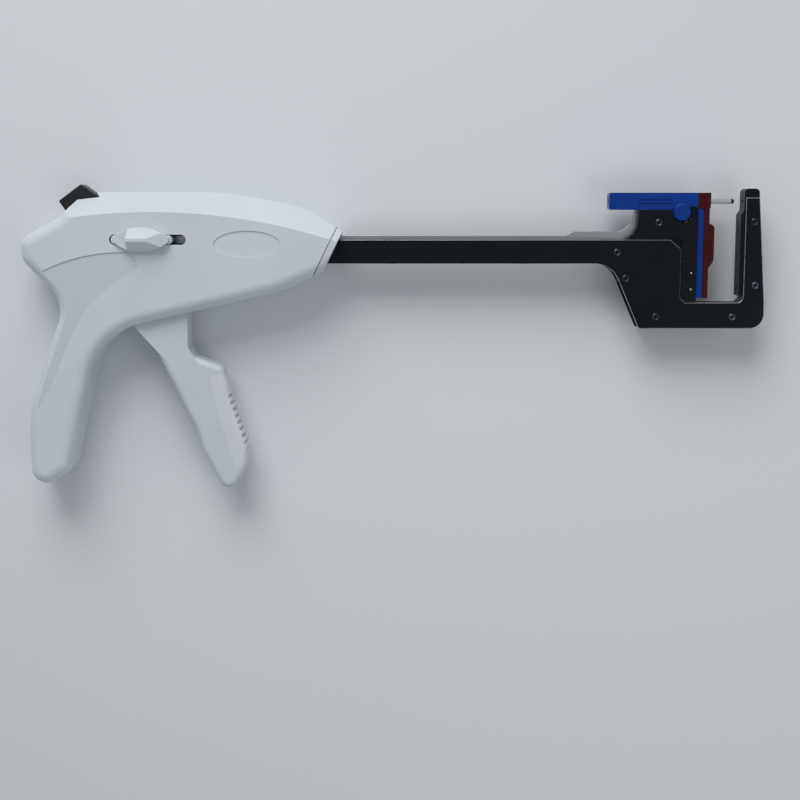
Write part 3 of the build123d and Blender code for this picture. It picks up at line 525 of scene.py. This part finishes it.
def piece_from(mesh, name, made, body=None):
    """Object at the origin from a finished bmesh, riding on a CAD body if one is named."""
    data = bpy.data.meshes.new(name)
    mesh.to_mesh(data)
    mesh.free()
    data.materials.append(made)
    made_piece = bpy.data.objects.new(name, data)
    bpy.context.scene.collection.objects.link(made_piece)
    if body:
        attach(made_piece, body)
    return made_piece


# Operators, one for each group of pieces

class STAPLER_OT_housing(bpy.types.Operator):
    """Cool white moulding on both handle shells and the nose ring"""

    bl_idname = "stapler.housing"
    bl_label = "Handle Housing"

    def execute(self, context):
        made = finish("housing", lambda: housing_plastic(scene_finishes(), scene_sizes()))
        dress(["right_handle_shell", "left_handle_shell"], made)
        dress(["nose_collar"], white_finish())
        return {"FINISHED"}


class STAPLER_OT_trigger(bpy.types.Operator):
    """Trigger lever and its ribbed finger strip"""

    bl_idname = "stapler.trigger"
    bl_label = "Trigger"

    def execute(self, context):
        # Painted highlight: the finger strip is tinted lighter than the lever for the light it faces.
        tint = tuple(scene_finishes().lit_finger_strip)
        grain = scene_sizes().mould_grain
        soft = finish("finger strip", lambda: moulded("Finger_Strip", tint, 0.55, grain, strength=0.5))
        dress(["trigger_lever"], white_finish())
        dress(["trigger_finger_pad"], soft)
        dress(["drive_arm", "trigger_pivot_pin"], bright_finish())
        return {"FINISHED"}


class STAPLER_OT_slider(bpy.types.Operator):
    """Thumb slider for the retaining pin"""

    bl_idname = "stapler.slider"
    bl_label = "Pin Slider"

    def execute(self, context):
        dress(["pin_slider_knob"], white_finish(), KNOB_EDGE, clamp=False)
        return {"FINISHED"}


class STAPLER_OT_button(bpy.types.Operator):
    """Black release button with its latch"""

    bl_idname = "stapler.button"
    bl_label = "Release Button"

    def execute(self, context):
        tint = tuple(scene_finishes().button)
        made = finish("button", lambda: moulded("Button_Black", tint, 0.45, BUTTON_GRAIN))
        dress(["release_button"], made, SOFT_EDGE)
        dress(["latch_pawl", "latch_pin"], bright_finish())
        return {"FINISHED"}


class STAPLER_OT_jaw_frame(bpy.types.Operator):
    """Black frame plates, their core, spacer and anvil"""

    bl_idname = "stapler.jaw_frame"
    bl_label = "Jaw Frame"

    def execute(self, context):
        edge = scene_sizes().edge_break
        dress(["right_frame_plate", "left_frame_plate"], blued_finish(), edge)
        dress(["anvil", "jaw_core", "frame_spacer"], blued_finish())
        dress(["frame_anchor_studs"], bright_finish())
        return {"FINISHED"}


class STAPLER_OT_rivets(bpy.types.Operator):
    """Headed rivets in the frame plates and the carriage"""

    bl_idname = "stapler.rivets"
    bl_label = "Rivets"

    def execute(self, context):
        dark = finish("rivet", lambda: rivet_steel(scene_finishes(), "Rivet_Steel", 1.8, 0.3))
        # Rim material: lighter metal, partly wear and partly a painted highlight ring.
        rim = finish("rivet rim highlight", lambda: rivet_steel(scene_finishes(), "Rivet_Rim_Highlight", 7.0, 0.16))
        for name, body in (("frame_rivets", "handle"), ("carriage_rivet", "carriage")):
            mesh = bmesh.new()
            for low, high in islands(NODES[name]):
                self.rivet(mesh, low, high)
            piece = piece_from(mesh, name + "_headed", dark, body)
            piece.data.materials.append(rim)
            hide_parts(name)
        dress(["cartridge_locator_pins"], bright_finish(), LOCATOR_EDGE)
        return {"FINISHED"}

    def rivet(self, mesh, low, high):
        """Turned rivet with a raised rim at each end that stands out of the plates."""
        middle = (low + high) / 2
        radius = (high.x - low.x) / 2
        earlier = set(mesh.verts)
        rise = scene_sizes().rivet_rise
        profile = [Vector((0, 0, low.z))]
        for end, sign in ((low.z, -1), (high.z, 1)):
            headed = abs(end - MID_HEIGHT) > FRAME_HALF
            steps = RIVET_HEAD if headed else RIVET_END
            ring = [Vector((radius * r, 0, end + sign * rise * h)) for r, h in steps]
            profile += ring if sign < 0 else reversed(ring)
        profile.append(Vector((0, 0, high.z)))
        line = [mesh.verts.new(point + Vector((middle.x, middle.y, 0))) for point in profile]
        edges = [mesh.edges.new(pair) for pair in zip(line, line[1:])]
        bmesh.ops.spin(
            mesh,
            geom=line + edges,
            cent=(middle.x, middle.y, 0),
            axis=(0, 0, 1),
            angle=radians(360),
            steps=RIVET_STEPS,
            use_merge=True,
        )
        made = [v for v in mesh.verts if v not in earlier]
        bmesh.ops.remove_doubles(mesh, verts=made, dist=WELD_REACH)
        made = [f for f in mesh.faces if not f.smooth]
        bmesh.ops.recalc_face_normals(mesh, faces=made)
        for face in made:
            face.smooth = True
            reach = (face.calc_center_median() - middle).to_2d().length
            face.material_index = 1 if reach > RIM_START * radius else 0


class STAPLER_OT_carriage(bpy.types.Operator):
    """Black carriage that holds the cartridge"""

    bl_idname = "stapler.carriage"
    bl_label = "Carriage"

    def execute(self, context):
        dress(["carriage"], blued_finish(), 1.5 * scene_sizes().edge_break)
        return {"FINISHED"}


class STAPLER_OT_cartridge(bpy.types.Operator):
    """Blue cartridge with its driver and staples"""

    bl_idname = "stapler.cartridge"
    bl_label = "Cartridge"

    def execute(self, context):
        tint = tuple(scene_finishes().cartridge)
        settings = {"strength": 0.25, "specular": 0.25}
        made = finish("cartridge", lambda: moulded("Cartridge_Blue", tint, 0.3, CARTRIDGE_GRAIN, **settings))
        dress(["cartridge_body"], made, SOFT_EDGE)
        dress(["staple_driver"], made)
        dress(["staples"], bright_finish())
        return {"FINISHED"}


class STAPLER_OT_cap(bpy.types.Operator):
    """Glossy dark red staple cap"""

    bl_idname = "stapler.cap"
    bl_label = "Staple Cap"

    def execute(self, context):
        tint = tuple(scene_finishes().cap)
        made = finish("cap", lambda: moulded("Cap_Red", tint, 0.14, CAP_GRAIN, strength=0.1, specular=0.3))
        dress(["staple_cap"], made, SOFT_EDGE)
        return {"FINISHED"}


class STAPLER_OT_bars(bpy.types.Operator):
    """Bright push bar, retaining pin, and the bars inside"""

    bl_idname = "stapler.bars"
    bl_label = "Bars"

    def execute(self, context):
        dress(["pin_push_bar"], bright_finish(), BAR_EDGE)
        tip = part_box("retaining_pin")[1].x - TIP_LENGTH
        made = finish("pin", lambda: bright_steel(scene_finishes(), scene_sizes(), "Pin_Steel", tip))
        dress(["retaining_pin"], made)
        dress(["closing_bar", "drive_pin", "firing_bar"], bright_finish())
        return {"FINISHED"}


class STAPLER_OT_springs(bpy.types.Operator):
    """Joined copies of the trigger's return leaf and the button's coil"""

    bl_idname = "stapler.springs"
    bl_label = "Springs"

    def execute(self, context):
        leaf = self.spring("trigger_return_spring", "return_leaf")
        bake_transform(leaf)
        coil = self.spring("release_button_spring", "button_coil", "handle")
        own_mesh(coil)
        return {"FINISHED"}

    def spring(self, node_name, name, body=None):
        """Joined copy of a spring's mesh."""
        mesh = bmesh.new()
        mesh.from_mesh(NODES[node_name].data)
        bmesh.ops.remove_doubles(mesh, verts=mesh.verts, dist=WELD_REACH)
        piece = piece_from(mesh, name, bright_finish(), body)
        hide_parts(node_name)
        return piece


class STAPLER_OT_studio(bpy.types.Operator):
    """Pale floor, soft lamps and a camera above the stapler"""

    bl_idname = "stapler.studio"
    bl_label = "Studio"

    def execute(self, context):
        studio = context.scene.stapler_studio
        self.floor(context, studio)
        self.lamp(context, "Key", KEY_PLACE, KEY_SIZE, studio.key, studio.spread)
        self.lamp(context, "Fill", FILL_PLACE, FILL_SIZE, studio.fill, WIDE_OPEN)
        self.sky(context, studio)
        self.camera(context)
        context.scene.view_settings.view_transform = "Standard"
        return {"FINISHED"}

    def floor(self, context, studio):
        mesh = bmesh.new()
        bmesh.ops.create_grid(mesh, x_segments=1, y_segments=1, size=FLOOR_REACH)
        data = bpy.data.meshes.new("Floor")
        mesh.to_mesh(data)
        mesh.free()
        made, tree, shader, place = material("Floor_Pale", 0.9, specular=0.0)
        noise = node(tree, "ShaderNodeTexNoise", {"Scale": 3.0, "Detail": 2.0}, {"Vector": place})
        pale = mix(tree, noise.outputs["Fac"], studio.floor, tuple(0.985 * c for c in studio.floor))
        tree.links.new(pale, shader.inputs["Base Color"])
        data.materials.append(made)
        floor = bpy.data.objects.new("Floor", data)
        context.scene.collection.objects.link(floor)

    def lamp(self, context, name, place, size, power, spread):
        data = bpy.data.lights.new(name, "AREA")
        data.size = size
        data.energy = power
        data.spread = spread
        lamp = bpy.data.objects.new(name, data)
        lamp.location = place
        aim = LAMP_AIM - Vector(place)
        lamp.rotation_euler = aim.to_track_quat("-Z", "Y").to_euler()
        context.scene.collection.objects.link(lamp)

    def sky(self, context, studio):
        world = bpy.data.worlds.new("Studio")
        world.use_nodes = True
        background = world.node_tree.nodes["Background"]
        background.inputs["Color"].default_value = SKY_TINT
        background.inputs["Strength"].default_value = studio.sky
        context.scene.world = world

    def camera(self, context):
        data = bpy.data.cameras.new("Camera")
        data.sensor_width = SENSOR
        data.lens = LENS
        camera = bpy.data.objects.new("Camera", data)
        camera.location = CAMERA_PLACE
        aim = (CAMERA_AIM - CAMERA_PLACE).normalized()
        right = aim.cross(Vector((0, 1, 0))).normalized()
        camera.rotation_euler = Matrix((right, right.cross(aim), -aim)).transposed().to_euler()
        context.scene.collection.objects.link(camera)
        context.scene.camera = camera


OPERATORS = (
    STAPLER_OT_housing,
    STAPLER_OT_trigger,
    STAPLER_OT_slider,
    STAPLER_OT_button,
    STAPLER_OT_jaw_frame,
    STAPLER_OT_rivets,
    STAPLER_OT_carriage,
    STAPLER_OT_cartridge,
    STAPLER_OT_cap,
    STAPLER_OT_bars,
    STAPLER_OT_springs,
    STAPLER_OT_studio,
)


class STAPLER_PT_sidebar(bpy.types.Panel):
    """Lists the stapler's finishes, sizes and operators"""

    bl_idname = "STAPLER_PT_sidebar"
    bl_label = "Linear Stapler"
    bl_space_type = "VIEW_3D"
    bl_region_type = "UI"
    bl_category = "Stapler"

    def draw(self, context):
        for name in SETTINGS:
            settings = getattr(context.scene, name)
            box = self.layout.box()
            for key in settings.__annotations__:
                box.prop(settings, key)
        for operator in OPERATORS:
            self.layout.operator(operator.bl_idname)


SETTINGS = {
    "stapler_finishes": StaplerFinishes,
    "stapler_sizes": StaplerSizes,
    "stapler_studio": StaplerStudio,
}


def register():
    for kind in (*SETTINGS.values(), *OPERATORS, STAPLER_PT_sidebar):
        bpy.utils.register_class(kind)
    for name, kind in SETTINGS.items():
        setattr(bpy.types.Scene, name, PointerProperty(type=kind))


def unregister():
    for name in SETTINGS:
        delattr(bpy.types.Scene, name)
    for kind in reversed((*SETTINGS.values(), *OPERATORS, STAPLER_PT_sidebar)):
        bpy.utils.unregister_class(kind)


def main():
    register()
    for operator in OPERATORS:
        family, name = operator.bl_idname.split(".")
        getattr(getattr(bpy.ops, family), name)()


if __name__ == "__main__":
    main()
